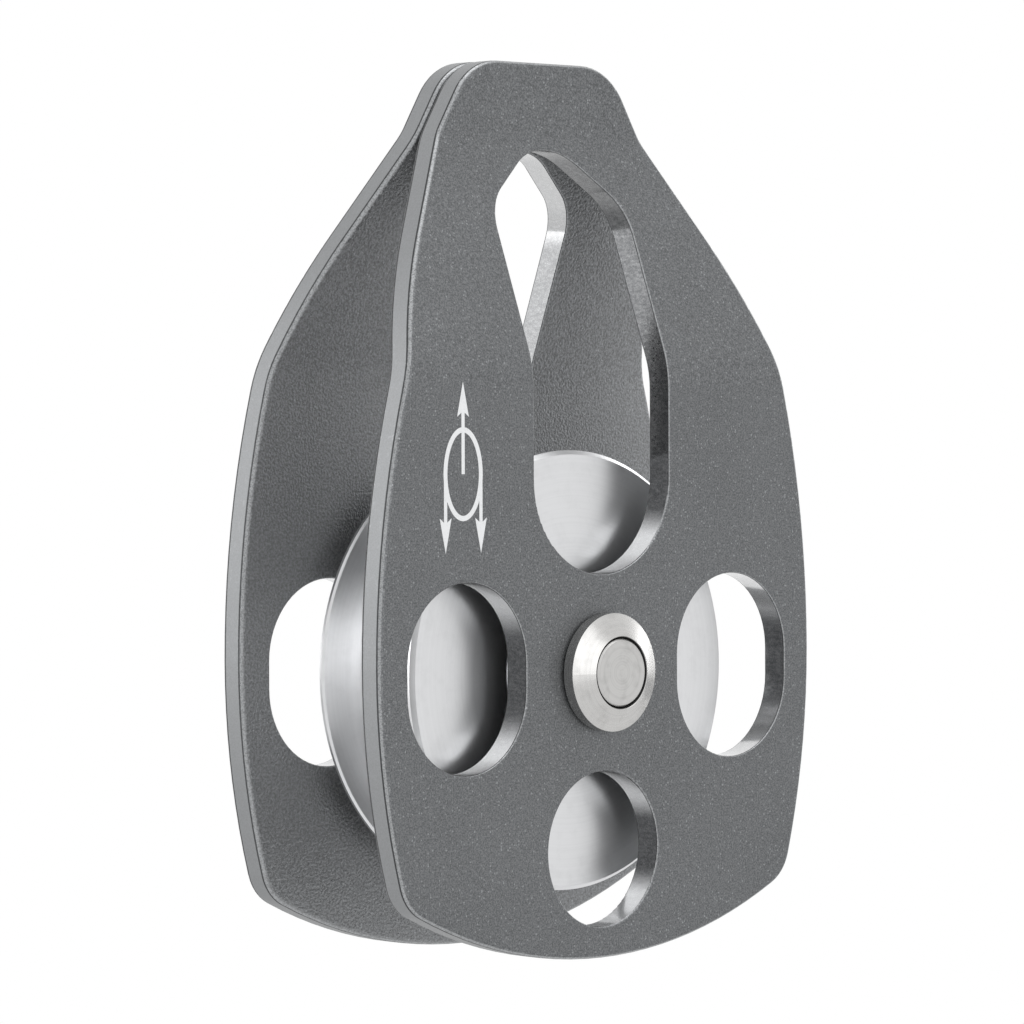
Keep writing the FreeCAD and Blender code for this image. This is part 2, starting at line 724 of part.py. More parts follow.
def cage(label):
    """A plain ring with one round pocket for each ball."""
    body = turned(label, [
        ("cage_inner_radius", "-cage_half_width"), ("cage_outer_radius", "-cage_half_width"),
        ("cage_outer_radius", "cage_half_width"), ("cage_inner_radius", "cage_half_width"),
    ])
    doc.recompute()
    sketch = new_sketch(body, "YZ_Plane", label + "_pocket_outline")
    axis = FreeCAD.Vector(0, 0, 1)
    sketch.addGeometry(Part.Circle(FreeCAD.Vector(0, 0, 0), axis, size("pocket_radius")), False)
    pin_point(sketch, 0, 3, "0", "0")
    datum(sketch, Sketcher.Constraint("Radius", 0, size("pocket_radius")), "pocket_radius")
    before = body.Shape.Volume
    pocket = body.newObject("PartDesign::Pocket", label + "_pocket")
    pocket.Profile = sketch
    pocket.Type = "Length"
    pocket.Length = 2 * size("cage_outer_radius")
    pocket.setExpression("Length", "2 * sizes.cage_outer_radius * 1 mm")
    # Out along +X, where the first ball sits.
    pocket.Reversed = True
    sketch.Visibility = False
    doc.recompute()
    if body.Shape.Volume > before - 1.0:
        raise RuntimeError("the cage pocket cut nothing")
    ring = body.newObject("PartDesign::PolarPattern", label + "_pockets")
    ring.Originals = [pocket]
    ring.Axis = (origin_part(body, "Y_Axis"), [""])
    ring.Angle = 360.0
    ring.Occurrences = BALL_COUNT
    body.Tip = ring
    return body


def bearing(side):
    """A sealed ball bearing, drawn about the origin and moved to its seat."""
    name = side + "_bearing_"
    inner = turned(name + "inner_ring", [
        ("inner_bore_bevelled", "-half_bearing"), ("inner_ring_radius", "-half_bearing"),
        ("inner_ring_radius", "-inner_race_half_width"),
        ("inner_ring_radius", "inner_race_half_width"),
        ("inner_ring_radius", "half_bearing"), ("inner_bore_bevelled", "half_bearing"),
        ("bore_on_axle", "ring_face"), ("bore_on_axle", "-ring_face"),
    ], {2: ("race_radius", 1)})
    outer = turned(name + "outer_ring", [
        ("bearing_edge_radius", "-half_bearing"), ("bearing_radius", "-ring_face"),
        ("bearing_radius", "ring_face"), ("bearing_edge_radius", "half_bearing"),
        ("seal_seat_radius", "half_bearing"), ("seal_seat_radius", "seal_inner_face"),
        ("outer_ring_land", "seal_inner_face"), ("outer_ring_land", "outer_race_half_width"),
        ("outer_ring_land", "-outer_race_half_width"), ("outer_ring_land", "-seal_inner_face"),
        ("seal_seat_radius", "-seal_inner_face"), ("seal_seat_radius", "-half_bearing"),
    ], {7: ("race_radius", 1)})
    out_sign = "-" if side == "front" else ""
    in_sign = "" if side == "front" else "-"
    pieces = [
        inner,
        outer,
        ball_set(name + "balls"),
        cage(name + "cage"),
        seal(name + "outer_seal", out_sign),
        seal(name + "inner_seal", in_sign),
    ]
    for piece in pieces:
        place_on_axle(piece, side)


side_plate("front_side_plate", 0)
side_plate("rear_side_plate", 180)
sheave()
axle_pieces()
bearing("front")
bearing("rear")
doc.recompute()

for item in doc.Objects:
    if "Invalid" in item.State or "Error" in item.State:
        raise RuntimeError("%s: %s" % (item.Label, item.State))

NODES = [
    "front_side_plate", "rear_side_plate", "sheave", "axle", "bearing_spacer",
    "front_collar", "front_plate_bush", "front_thrust_washer",
    "rear_collar", "rear_plate_bush", "rear_thrust_washer",
]
for side in ("front", "rear"):
    for piece in ("inner_ring", "outer_ring", "balls", "cage", "outer_seal", "inner_seal"):
        NODES.append("%s_bearing_%s" % (side, piece))

os.makedirs("parts", exist_ok=True)
for label in NODES:
    node = doc.getObjectsByLabel(label)[0]
    if node.Shape.isNull() or not node.Shape.isValid():
        raise RuntimeError(label + " has no valid shape")
    node.Shape.exportStep("parts/%s.step" % label)
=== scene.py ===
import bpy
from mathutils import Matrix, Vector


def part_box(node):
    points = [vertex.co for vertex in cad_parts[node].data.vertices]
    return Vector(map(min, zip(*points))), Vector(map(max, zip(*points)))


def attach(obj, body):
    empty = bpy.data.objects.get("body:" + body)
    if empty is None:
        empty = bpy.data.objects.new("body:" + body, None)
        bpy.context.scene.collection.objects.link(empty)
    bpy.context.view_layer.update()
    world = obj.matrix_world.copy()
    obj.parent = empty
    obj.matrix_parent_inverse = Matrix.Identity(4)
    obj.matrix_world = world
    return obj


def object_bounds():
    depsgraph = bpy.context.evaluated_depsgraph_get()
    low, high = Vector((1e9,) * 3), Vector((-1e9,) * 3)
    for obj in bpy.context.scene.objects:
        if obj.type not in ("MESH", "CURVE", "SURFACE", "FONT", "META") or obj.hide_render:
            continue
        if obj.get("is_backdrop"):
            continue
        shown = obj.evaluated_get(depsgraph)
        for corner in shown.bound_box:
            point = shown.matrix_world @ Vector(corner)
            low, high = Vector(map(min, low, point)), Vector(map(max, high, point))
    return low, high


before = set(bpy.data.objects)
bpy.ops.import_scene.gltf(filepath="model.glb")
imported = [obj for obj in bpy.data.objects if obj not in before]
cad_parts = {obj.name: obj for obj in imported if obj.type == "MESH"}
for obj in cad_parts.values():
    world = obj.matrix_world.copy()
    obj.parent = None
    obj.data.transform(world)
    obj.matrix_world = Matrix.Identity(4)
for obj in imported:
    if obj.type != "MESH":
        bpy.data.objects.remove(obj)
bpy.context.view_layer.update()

import math

import bmesh
import bpy
from bpy.props import FloatProperty, FloatVectorProperty, PointerProperty
from mathutils import Matrix, Vector

bl_info = {
    "name": "Rope Pulley",
    "version": (1, 0, 0),
    "blender": (4, 5, 0),
    "location": "View3D > Sidebar > Pulley",
    "description": "Finishes, load marks and studio for a pulley with swinging side plates",
    "category": "Object",
}

MM = 0.001
SIDES = ("front", "rear")

# Openings of a side plate, in millimetres from the axle
EYE_HALF_WIDTH = 14.4
EYE_FOOT = 13.75
EYE_PEAK = 76.6
SLOT_OFFSET = 27.4
SLOT_REACH = 12.25
SLOT_SQUASH = 0.74
LOWER_HOLE_DROP = 25.8
LOWER_HOLE_REACH = 11.75

# Heights, in millimetres, between which the painted highlight on the curved walls fades and
# at which the stronger painted highlight on the walls of the eye's shoulders begins
GLINT_FADE = (26.0, 34.0)
SHOULDER_GLINT = (62.0, 66.0)

# Painted highlight on the window walls, front and rear: how much each side gets
WALL_GLINT_SHARE = (0.0, 0.15)

# Heights of the tool marks
SHEAVE_TURNING = 0.0005 * MM
STEEL_TURNING = 0.0012 * MM
BRONZE_TURNING = 0.001 * MM
RING_GRINDING = 0.0003 * MM
CAGE_PRESSING = 0.002 * MM
RUBBER_PORES = 0.01 * MM
PAINT_GRAINS = 0.008 * MM

# Radii, in millimetres, between which the joint round the axle's end lies, as the
# collar's own material and the axle's own material see it; that band is painted near black, as
# painted shade with dirt
COLLAR_JOINT = (4.0, 5.24)
AXLE_JOINT = (4.96, 5.2)
JOINT_BLUR = 0.05

# Load mark: corners of its ring, width of its arrows and depth of their notch as
# shares of line and head, and how much higher each line lies than the one before
RING_CORNERS = 96
SHAFT_SHARE = 0.84
NOTCH_SHARE = 0.88
LINE_STEP = 0.15

# Colours that no setting changes
# Painted shade with dirt, for the joint round the axle's end
JOINT_SHADE_AND_DIRT = (0.02, 0.02, 0.02, 1.0)
# Painted highlight for the rounded edges of the plates
EDGE_GLINT_METAL = (0.38, 0.39, 0.4, 1.0)
DUST = (0.14, 0.14, 0.135, 1.0)
THIN_PAINT = (0.55, 0.56, 0.57, 1.0)
WHITE = (1.0, 1.0, 1.0, 1.0)

# Stage, in metres. A lamp has its place, its size and its power in watts.
FLOOR_SIZE = 8.0
FLOOR_FADE = (0.08, 0.3)
SENSOR_WIDTH = 36.0
CAMERA_TARGET = Vector((-2.27 * MM, 0.0, 23.07 * MM))
LAMP_TARGET = Vector((0.0, 0.0, 0.02))
LAMPS = {
    "front_box": ((-0.05, -1.15, 0.45), (0.8, 1.2), 3.1),
    "left_box": ((-0.95, 0.75, 0.3), (0.7, 0.9), 3.9),
    "right_box": ((1.15, 0.1, 0.2), (0.5, 0.9), 3.0),
    "top_box": ((0.1, 0.0, 1.25), (0.9, 0.9), 5.0),
}


# ---------------------------------------------------------------- shader nodes

class Value:
    """A shader socket that answers to Python's operators with Math nodes."""

    def __init__(self, tree, socket):
        self.tree = tree
        self.socket = socket

    def out(self, name):
        """Another output of the same node."""
        return Value(self.tree, self.socket.node.outputs[name])

    def maths(self, operation, *operands):
        values = dict(enumerate(operands))
        return self.tree.add("ShaderNodeMath", {"operation": operation}, values)

    def __add__(self, other):
        return self.maths("ADD", self, other)

    __radd__ = __add__

    def __sub__(self, other):
        return self.maths("SUBTRACT", self, other)

    def __rsub__(self, other):
        return self.maths("SUBTRACT", other, self)

    def __mul__(self, other):
        return self.maths("MULTIPLY", self, other)

    __rmul__ = __mul__

    def __pow__(self, other):
        return self.maths("POWER", self, other)

    def __abs__(self):
        return self.maths("ABSOLUTE", self)

    def highest(self, other):
        return self.maths("MAXIMUM", self, other)

    def step(self, low, high):
        """0 below low, 1 above high and smooth between them."""
        settings = {"interpolation_type": "SMOOTHSTEP", "clamp": True}
        values = {"Value": self, "From Min": low, "From Max": high}
        return self.tree.add("ShaderNodeMapRange", settings, values)

    def past(self, place, blur):
        """0 before the place and 1 past it, with an edge of twice the blur."""
        return self.step(place - blur, place + blur)


class Tree:
    """The nodes of one material or world."""

    def __init__(self, owner):
        owner.use_nodes = True
        self.nodes = owner.node_tree.nodes
        self.links = owner.node_tree.links
        self.nodes.clear()

    def add(self, kind, settings=None, values=None, output=0):
        """Add a node, set it up, feed its sockets and hand back one output."""
        node = self.nodes.new(kind)
        for name, setting in (settings or {}).items():
            setattr(node, name, setting)
        for name, value in (values or {}).items():
            if isinstance(value, Value):
                self.links.new(value.socket, node.inputs[name])
            else:
                node.inputs[name].default_value = value
        return Value(self, node.outputs[output]) if node.outputs else None

    def blend(self, factor, first, second):
        """Mix two colours."""
        values = {0: factor, 6: first, 7: second}
        return self.add("ShaderNodeMix", {"data_type": "RGBA"}, values, output=2)

    def millimetres(self):
        """Place on the piece, in millimetres, as one vector."""
        place = self.add("ShaderNodeTexCoord", output="Object")
        values = {0: place, "Scale": 1 / MM}
        return self.add("ShaderNodeVectorMath", {"operation": "SCALE"}, values)

    def split(self, vector):
        x = self.add("ShaderNodeSeparateXYZ", None, {0: vector})
        return x, x.out("Y"), x.out("Z")

    def vector(self, x, y, z):
        return self.add("ShaderNodeCombineXYZ", None, {0: x, 1: y, 2: z})

    def noise(self, vector, scale, detail=2.0, roughness=0.5):
        values = {"Vector": vector, "Scale": scale, "Detail": detail, "Roughness": roughness}
        return self.add("ShaderNodeTexNoise", None, values)

    def bump(self, height, strength, distance):
        values = {"Height": height, "Strength": strength, "Distance": distance}
        return self.add("ShaderNodeBump", None, values)

    def surface(self, **values):
        """Finish the tree with a Principled surface."""
        names = {key.replace("_", " "): value for key, value in values.items()}
        shader = self.add("ShaderNodeBsdfPrincipled", None, names)
        self.add("ShaderNodeOutputMaterial", None, {"Surface": shader})


def new_material(name):
    material = bpy.data.materials.new(name)
    return material, Tree(material)


def colour(value):
    return (value[0], value[1], value[2], 1.0)


def finish_node(name, material):
    """Give a CAD node one material on every slot."""
    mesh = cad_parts[name].data
    if not mesh.materials:
        mesh.materials.append(material)
    for index in range(len(mesh.materials)):
        mesh.materials[index] = material


# ---------------------------------------------------------------- settings

class PULLEY_PG_plates(bpy.types.PropertyGroup):
    """Finish of the side plates."""

    face: FloatVectorProperty(name="Face", description="Colour of the blasted faces",
                              subtype="COLOR", default=(0.084, 0.087, 0.09))
    # Painted light: the inner faces are the same anodised metal, painted lighter than the outer
    # faces
    inner: FloatVectorProperty(name="Inner face", description="Colour of the inner faces",
                               subtype="COLOR", default=(0.185, 0.187, 0.19))
    speck: FloatVectorProperty(name="Specks", description="Colour of the bright grains",
                               subtype="COLOR", default=(0.34, 0.35, 0.36))
    rim: FloatVectorProperty(name="Rim", description="Colour of the cut rim",
                             subtype="COLOR", default=(0.24, 0.245, 0.25))
    window: FloatVectorProperty(name="Window walls", description="Colour inside the openings",
                                subtype="COLOR", default=(0.075, 0.077, 0.08))
    # A painted highlight for the curved walls of the openings, standing in for their reflection
    curved_wall_glint: FloatVectorProperty(name="Curved walls", description="Colour of the bared metal",
                                subtype="COLOR", default=(0.74, 0.745, 0.75))
    grain: FloatProperty(name="Grain", description="Size of one blasted grain",
                         subtype="DISTANCE", default=0.24 * MM, min=0.05 * MM, max=2 * MM)
    depth: FloatProperty(name="Grain depth", description="Height of the grains",
                         subtype="DISTANCE", default=0.008 * MM, min=0.0, max=0.2 * MM)
    roughness: FloatProperty(name="Roughness", description="Roughness of the faces",
                             subtype="FACTOR", default=0.42, min=0.05, max=1.0)


class PULLEY_PG_sheave(bpy.types.PropertyGroup):
    """Finish of the sheave."""

    metal: FloatVectorProperty(name="Metal", description="Colour of the turned aluminium",
                               subtype="COLOR", default=(0.72, 0.725, 0.735))
    roughness: FloatProperty(name="Roughness", description="Roughness of the turned faces",
                             subtype="FACTOR", default=0.31, min=0.02, max=1.0)
    pitch: FloatProperty(name="Tool pitch", description="Spacing of the turning marks",
                         subtype="DISTANCE", default=0.32 * MM, min=0.02 * MM, max=2 * MM)


class PULLEY_PG_axle(bpy.types.PropertyGroup):
    """Finish of the axle, its collars and washers."""

    steel: FloatVectorProperty(name="Steel", description="Colour of the turned steel",
                               subtype="COLOR", default=(0.56, 0.555, 0.545))
    bronze: FloatVectorProperty(name="Bronze", description="Colour of the plate bushes",
                                subtype="COLOR", default=(0.55, 0.38, 0.18))
    roughness: FloatProperty(name="Roughness", description="Roughness of the turned steel",
                             subtype="FACTOR", default=0.27, min=0.02, max=1.0)
    pitch: FloatProperty(name="Tool pitch", description="Spacing of the turning marks",
                         subtype="DISTANCE", default=0.26 * MM, min=0.02 * MM, max=2 * MM)


class PULLEY_PG_bearings(bpy.types.PropertyGroup):
    """Finish of the ball bearings."""

    ring: FloatVectorProperty(name="Rings", description="Colour of the ground rings and balls",
                              subtype="COLOR", default=(0.74, 0.75, 0.77))
    seal: FloatVectorProperty(name="Seals", description="Colour of the rubber seals",
                              subtype="COLOR", default=(0.025, 0.025, 0.027))
    cage: FloatVectorProperty(name="Cages", description="Colour of the pressed cages",
                              subtype="COLOR", default=(0.58, 0.57, 0.54))


class PULLEY_PG_marks(bpy.types.PropertyGroup):
    """The load mark on the outer faces: an oval ring and three arrows."""

    paint: FloatVectorProperty(name="Colour", description="Colour of the marked lines",
                               subtype="COLOR", default=(0.80, 0.81, 0.82))
    side: FloatProperty(name="Off centre", description="How far left of the axle the ring lies",
                        subtype="DISTANCE", default=28.3 * MM)
    height: FloatProperty(name="Height", description="Height of the ring above the axle",
                          subtype="DISTANCE", default=29.1 * MM)
    ring_width: FloatProperty(name="Ring width", description="Width over the ring",
                              subtype="DISTANCE", default=7.7 * MM)
    ring_height: FloatProperty(name="Ring height", description="Height over the ring",
                               subtype="DISTANCE", default=13.3 * MM)
    line: FloatProperty(name="Line", description="Width of a line",
                        subtype="DISTANCE", default=0.75 * MM, min=0.1 * MM)
    head_length: FloatProperty(name="Head length", description="Length of an arrow's head",
                               subtype="DISTANCE", default=5.0 * MM)
    head_width: FloatProperty(name="Head width", description="Width over an arrow's barbs",
                              subtype="DISTANCE", default=2.3 * MM)
    load_reach: FloatProperty(name="Upper arrow", description="From the ring to its tip",
                              subtype="DISTANCE", default=13.1 * MM)
    rope_reach: FloatProperty(name="Rope arrows", description="From the ring to their tips",
                              subtype="DISTANCE", default=11.2 * MM)
    thickness: FloatProperty(name="Thickness", description="How far the lines stand proud",
                             subtype="DISTANCE", default=0.02 * MM, min=0.005 * MM)


class PULLEY_PG_stage(bpy.types.PropertyGroup):
    """Floor, light and camera."""

    floor: FloatVectorProperty(name="Floor", description="Colour of the floor",
                               subtype="COLOR", default=(0.92, 0.92, 0.92))
    clearance: FloatProperty(name="Clearance", description="Floor to a side plate swung down",
                             subtype="DISTANCE", default=4.0 * MM, min=1.0 * MM)
    fill: FloatProperty(name="Fill", description="Strength of the even light", default=0.7)
    glow: FloatProperty(name="Glow", description="Part of the floor that is simply white",
                        subtype="FACTOR", default=0.8, min=0.0, max=1.0)
    turn: FloatProperty(name="Camera turn", description="Turn to the left of straight on",
                        subtype="ANGLE", default=math.radians(44.65))
    rise: FloatProperty(name="Camera rise", description="Rise above level",
                        subtype="ANGLE", default=math.radians(1.26))
    roll: FloatProperty(name="Camera roll", description="Camera's roll",
                        subtype="ANGLE", default=math.radians(-0.19))
    distance: FloatProperty(name="Camera distance", description="Camera to its target",
                            subtype="DISTANCE", default=0.7323)
    lens: FloatProperty(name="Lens", description="Focal length in millimetres",
                        subtype="DISTANCE_CAMERA", default=174.7)


# ---------------------------------------------------------------- side plates

def openings(x, z):
    """1 within the eye, the two slots and the lower hole of a side plate."""
    eye = 1.0 - abs(x).past(EYE_HALF_WIDTH, 0.2)
    eye = eye * z.past(EYE_FOOT, 0.15) * (1.0 - z.past(EYE_PEAK, 0.2))
    slots = ((abs(x) - SLOT_OFFSET) ** 2.0 + z * z * SLOT_SQUASH) ** 0.5
    slots = 1.0 - slots.past(SLOT_REACH, 0.25)
    lower = (x * x + (z + LOWER_HOLE_DROP) ** 2.0) ** 0.5
    lower = 1.0 - lower.past(LOWER_HOLE_REACH, 0.15)
    return eye.highest(slots).highest(lower)


def plate_material(settings, side, glint_share):
    """Blasted, dark anodised sheet: fine bright grains, a lighter cut rim and smoother walls in
    the openings, with painted light:
    a painted highlight along the rounded edges and a painted shade line beside it, inner faces
    painted lighter, and a painted highlight on the curved walls of the openings, to which each
    side's share adds an even painted highlight on its opening walls, stronger above the eye's
    shoulders."""
    material, tree = new_material(side + "_plate_grey")
    place = tree.millimetres()
    x, y, z = tree.split(place)
    grain = settings.grain / MM
    normal = tree.add("ShaderNodeTexCoord", output="Normal")
    _, ny, nz = tree.split(normal)
    # Faces look along the axle, walls across it, and bevels lie between the two.
    across = abs(ny)
    # Curved walls of the openings get a painted highlight, fading with height.
    curved = abs(nz).step(0.3, 0.66) * (1.0 - z.step(*GLINT_FADE) * 0.85)
    # Inner faces, which are painted lighter than the outer ones as painted light
    inner = 1.0 - (ny * y).step(-0.6, 0.0)
    wall = 1.0 - across.step(0.03, 0.1)
    window = openings(x, z)
    # Thin band on the wall side of each rounded edge, painted dark as a shade line
    edge_shade_line = across.step(0.02, 0.08) * (1.0 - across.step(0.3, 0.44))
    # Middle band of each rounded edge, which gets a painted highlight
    edge = across.step(0.3, 0.46) * (1.0 - across.step(0.74, 0.9))

    cells = tree.add("ShaderNodeTexVoronoi", {"feature": "F1"},
                     {"Vector": place, "Scale": 0.55 / grain}, "Distance")
    chance = tree.add("ShaderNodeSeparateColor", None, {0: cells.out("Color")})
    fleck = chance.step(0.72, 0.95) * (1.0 - cells.step(0.16, 0.46))
    soft = tree.noise(place, 1.0 / grain, 2.0, 0.6)
    cloud = tree.noise(place, 0.05, 2.0)
    peel = tree.noise(place, 0.6 / grain, 1.0)
    relief = peel.step(0.38, 0.62) * (inner * 0.34 + 0.08)
    level = soft.step(0.34, 0.68) * 0.38 + fleck * 0.5 + cloud * 0.1 + relief

    # The inner faces take the lighter colour: painted light
    base = tree.blend(inner, colour(settings.face), colour(settings.inner))
    face = tree.blend(level, base, colour(settings.speck))
    rim = tree.blend(soft.step(0.3, 0.7) * 0.35, colour(settings.rim), colour(settings.speck))
    streaks = tree.noise(tree.vector(x, y * 0.4, z), 2.4, 3.0, 0.65)
    # Milling streaks on the opening walls, plus painted highlight: even by the side's share,
    # stronger above the eye's shoulders, and on the curved walls.
    milled_and_glint = streaks.step(0.35, 0.75) * 0.09 + soft.step(0.4, 0.7) * 0.08
    milled_and_glint = milled_and_glint + (z.step(*SHOULDER_GLINT) * 3.0 + 1.0) * glint_share + curved * (0.84 - glint_share)
    inside = tree.blend(milled_and_glint, colour(settings.window), colour(settings.curved_wall_glint))
    body = tree.blend(wall, face, tree.blend(window, rim, inside))
    # Painted shade line beside the rounded edges, darker than the faces
    shadow = colour([channel * 0.4 for channel in settings.face])
    body = tree.blend(edge_shade_line * 0.85, body, shadow)
    # Painted highlight along the rounded edges, speckled by noise
    edge_glint = tree.blend(soft.step(0.36, 0.6), colour(settings.rim), EDGE_GLINT_METAL)
    skin = tree.blend(edge, body, edge_glint)

    smooth = (wall * window).highest(edge * 0.6)
    height = (soft * 0.7 + cells * 0.4 + peel * inner * 22.0) * (1.0 - smooth * 0.85)
    grit = tree.bump(height, 1.0, settings.depth)
    rough = settings.roughness + soft * 0.12 - fleck * 0.15 - wall * window * 0.33 - edge * 0.1
    tree.surface(Base_Color=skin, Metallic=0.8 + fleck * 0.15, Roughness=rough, Normal=grit)
    return material


class PULLEY_OT_plates(bpy.types.Operator):
    """Finish the two side plates"""

    bl_idname = "pulley.side_plates"
    bl_label = "Side plates"

    def execute(self, context):
        for side, glint_share in zip(SIDES, WALL_GLINT_SHARE):
            material = plate_material(context.scene.pulley_plates, side, glint_share)
            finish_node(side + "_side_plate", material)
        return {"FINISHED"}


# ---------------------------------------------------------------- turned metal

def turned_metal(name, metal, roughness, pitch, depth, wear=0.05, dark=0.8, gap=None):
    """Lathe-turned metal: fine rings about the axle and slight stains. The gap is
    the band of radii, in millimetres, that lies in the joint round the axle's end; it is
    painted near black, as painted shade with dirt."""
    material, tree = new_material(name)
    place = tree.millimetres()
    x, y, z = tree.split(place)
    radius = (x * x + z * z) ** 0.5
    step = pitch / MM
    section = tree.vector(radius, y, 0.0)
    fine = tree.noise(section, 1.0 / step, 1.0)
    broad = tree.noise(section, 0.3 / step, 2.0)
    stain = tree.noise(place, 0.45, 4.0, 0.65)
    shade = stain.step(0.45, 0.72) * 0.55 + fine.step(0.4, 0.7) * 0.3
    darker = colour([channel * dark for channel in metal])
    skin = tree.blend(shade, colour(metal), darker)
    # The joint round the axle's end is painted near black: painted shade where the parts meet,
    # with dirt in the gap.
    if gap:
        low, high = gap
        joint = radius.step(low - JOINT_BLUR, low)
        joint = joint * (1.0 - radius.step(high, high + JOINT_BLUR))
        skin = tree.blend(joint, skin, JOINT_SHADE_AND_DIRT)
    rough = roughness + (fine - 0.5) * wear + (broad - 0.5) * wear + (stain - 0.5) * wear
    rings = tree.bump(fine * 0.7 + broad * 0.3, 1.0, depth)
    tree.surface(Base_Color=skin, Metallic=1.0, Roughness=rough, Normal=rings)
    return material


class PULLEY_OT_sheave(bpy.types.Operator):
    """Finish the sheave"""

    bl_idname = "pulley.sheave"
    bl_label = "Sheave"

    def execute(self, context):
        settings = context.scene.pulley_sheave
        material = turned_metal("sheave_aluminium", settings.metal, settings.roughness,
                                settings.pitch, SHEAVE_TURNING, dark=0.92)
        finish_node("sheave", material)
        return {"FINISHED"}


class PULLEY_OT_axle(bpy.types.Operator):
    """Finish the axle, its collars, spacer, washers and plate bushes"""

    bl_idname = "pulley.axle"
    bl_label = "Axle and collars"

    def execute(self, context):
        settings = context.scene.pulley_axle
        steel = turned_metal("turned_steel", settings.steel, settings.roughness,
                             settings.pitch, STEEL_TURNING)
        collar = turned_metal("collar_steel", settings.steel, settings.roughness,
                              settings.pitch, STEEL_TURNING, gap=COLLAR_JOINT)
        tip = turned_metal("axle_steel", settings.steel, settings.roughness + 0.08,
                           settings.pitch * 1.4, STEEL_TURNING, wear=0.1, dark=0.75,
                           gap=AXLE_JOINT)
        bronze = turned_metal("bush_bronze", settings.bronze, 0.38,
                              settings.pitch, BRONZE_TURNING)
        finish_node("axle", tip)
        finish_node("bearing_spacer", steel)
        for side in SIDES:
            finish_node(side + "_collar", collar)
            finish_node(side + "_thrust_washer", steel)
            finish_node(side + "_plate_bush", bronze)
        return {"FINISHED"}


# ---------------------------------------------------------------- bearings

def seal_material(settings):
    """Moulded rubber with a dull, slightly dusty skin."""
    material, tree = new_material("seal_rubber")
    place = tree.millimetres()
    dust = tree.noise(place, 0.9, 4.0, 0.65)
    pores = tree.noise(place, 6.0, 2.0)
    skin = tree.blend(dust.step(0.45, 0.8) * 0.35, colour(settings.seal), DUST)
    tree.surface(Base_Color=skin, Roughness=0.62 + dust * 0.2,
                 Normal=tree.bump(pores, 0.6, RUBBER_PORES))
    return material


class PULLEY_OT_bearings(bpy.types.Operator):
    """Finish the two ball bearings"""

    bl_idname = "pulley.bearings"
    bl_label = "Bearings"

    def execute(self, context):
        settings = context.scene.pulley_bearings
        ring = turned_metal("bearing_steel", settings.ring, 0.14, 0.2 * MM, RING_GRINDING,
                            wear=0.03, dark=0.9)
        cage = turned_metal("cage_steel", settings.cage, 0.42, 0.3 * MM, CAGE_PRESSING)
        seal = seal_material(settings)
        for side in SIDES:
            name = side + "_bearing_"
            for piece in ("inner_ring", "outer_ring", "balls"):
                finish_node(name + piece, ring)
            finish_node(name + "cage", cage)
            finish_node(name + "outer_seal", seal)
            finish_node(name + "inner_seal", seal)
        return {"FINISHED"}


# ---------------------------------------------------------------- load marks

def deselect():
    if bpy.context.object and bpy.context.object.mode != "OBJECT":
        bpy.ops.object.mode_set(mode="OBJECT")
    bpy.ops.object.select_all(action="DESELECT")


def apply_place(piece):
    """Move the object's place, turn and scale into its mesh."""
    deselect()
    piece.select_set(True)
    bpy.context.view_layer.objects.active = piece
    bpy.ops.object.transform_apply(location=True, rotation=True, scale=True)


def flat_ring(settings, face):
    """An oval ring lying on the plate's outer face (face is its Y)."""
    deselect()
    half_width = settings.ring_width / 2
    bpy.ops.mesh.primitive_circle_add(
        vertices=RING_CORNERS, radius=half_width, fill_type="NGON",
        location=(-settings.side, face, settings.height), rotation=(math.pi / 2, 0, 0))
    ring = bpy.context.object
    ring.scale = (1.0, settings.ring_height / settings.ring_width, 1.0)
    apply_place(ring)
    bpy.ops.object.mode_set(mode="EDIT")
    bpy.ops.mesh.select_all(action="SELECT")
    bpy.ops.mesh.inset(thickness=settings.line, depth=0.0)
    bpy.ops.mesh.delete(type="FACE")
    bpy.ops.object.mode_set(mode="OBJECT")
    return ring


def flat_arrow(settings, face, across, start, tip):
    """A barbed arrow from start to tip, both heights, at one place across."""
    deselect()
    way = 1.0 if tip > start else -1.0
    notch = tip - way * settings.head_length * NOTCH_SHARE
    bpy.ops.mesh.primitive_plane_add(size=1.0, location=(across, face, (start + notch) / 2),
                                     rotation=(math.pi / 2, 0, 0))
    arrow = bpy.context.object
    arrow.scale = (settings.line * SHAFT_SHARE, abs(notch - start), 1.0)
    apply_place(arrow)
    mesh = bmesh.new()
    mesh.from_mesh(arrow.data)
    mesh.verts.ensure_lookup_table()
    ends = sorted(mesh.verts, key=lambda vert: way * vert.co.z)[2:]
    left, right = sorted(ends, key=lambda vert: vert.co.x)
    barb = tip - way * settings.head_length
    reach = settings.head_width / 2
    left_barb = mesh.verts.new((across - reach, face, barb))
    right_barb = mesh.verts.new((across + reach, face, barb))
    point = mesh.verts.new((across, face, tip))
    mesh.faces.new((left, left_barb, point))
    mesh.faces.new((left, point, right))
    mesh.faces.new((right, point, right_barb))
    bmesh.ops.recalc_face_normals(mesh, faces=mesh.faces)
    mesh.to_mesh(arrow.data)
    mesh.free()
    return arrow


def raise_lines(piece, thickness, outward):
    """Turn flat lines into thin closed ones that stand on the face."""
    deselect()
    piece.select_set(True)
    bpy.context.view_layer.objects.active = piece
    bpy.ops.object.mode_set(mode="EDIT")
    bpy.ops.mesh.select_all(action="SELECT")
    bpy.ops.mesh.remove_doubles(threshold=1e-6)
    bpy.ops.mesh.extrude_region_move(
        TRANSFORM_OT_translate={"value": (0.0, outward * thickness, 0.0)})
    bpy.ops.mesh.select_all(action="SELECT")
    bpy.ops.mesh.normals_make_consistent(inside=False)
    bpy.ops.object.mode_set(mode="OBJECT")


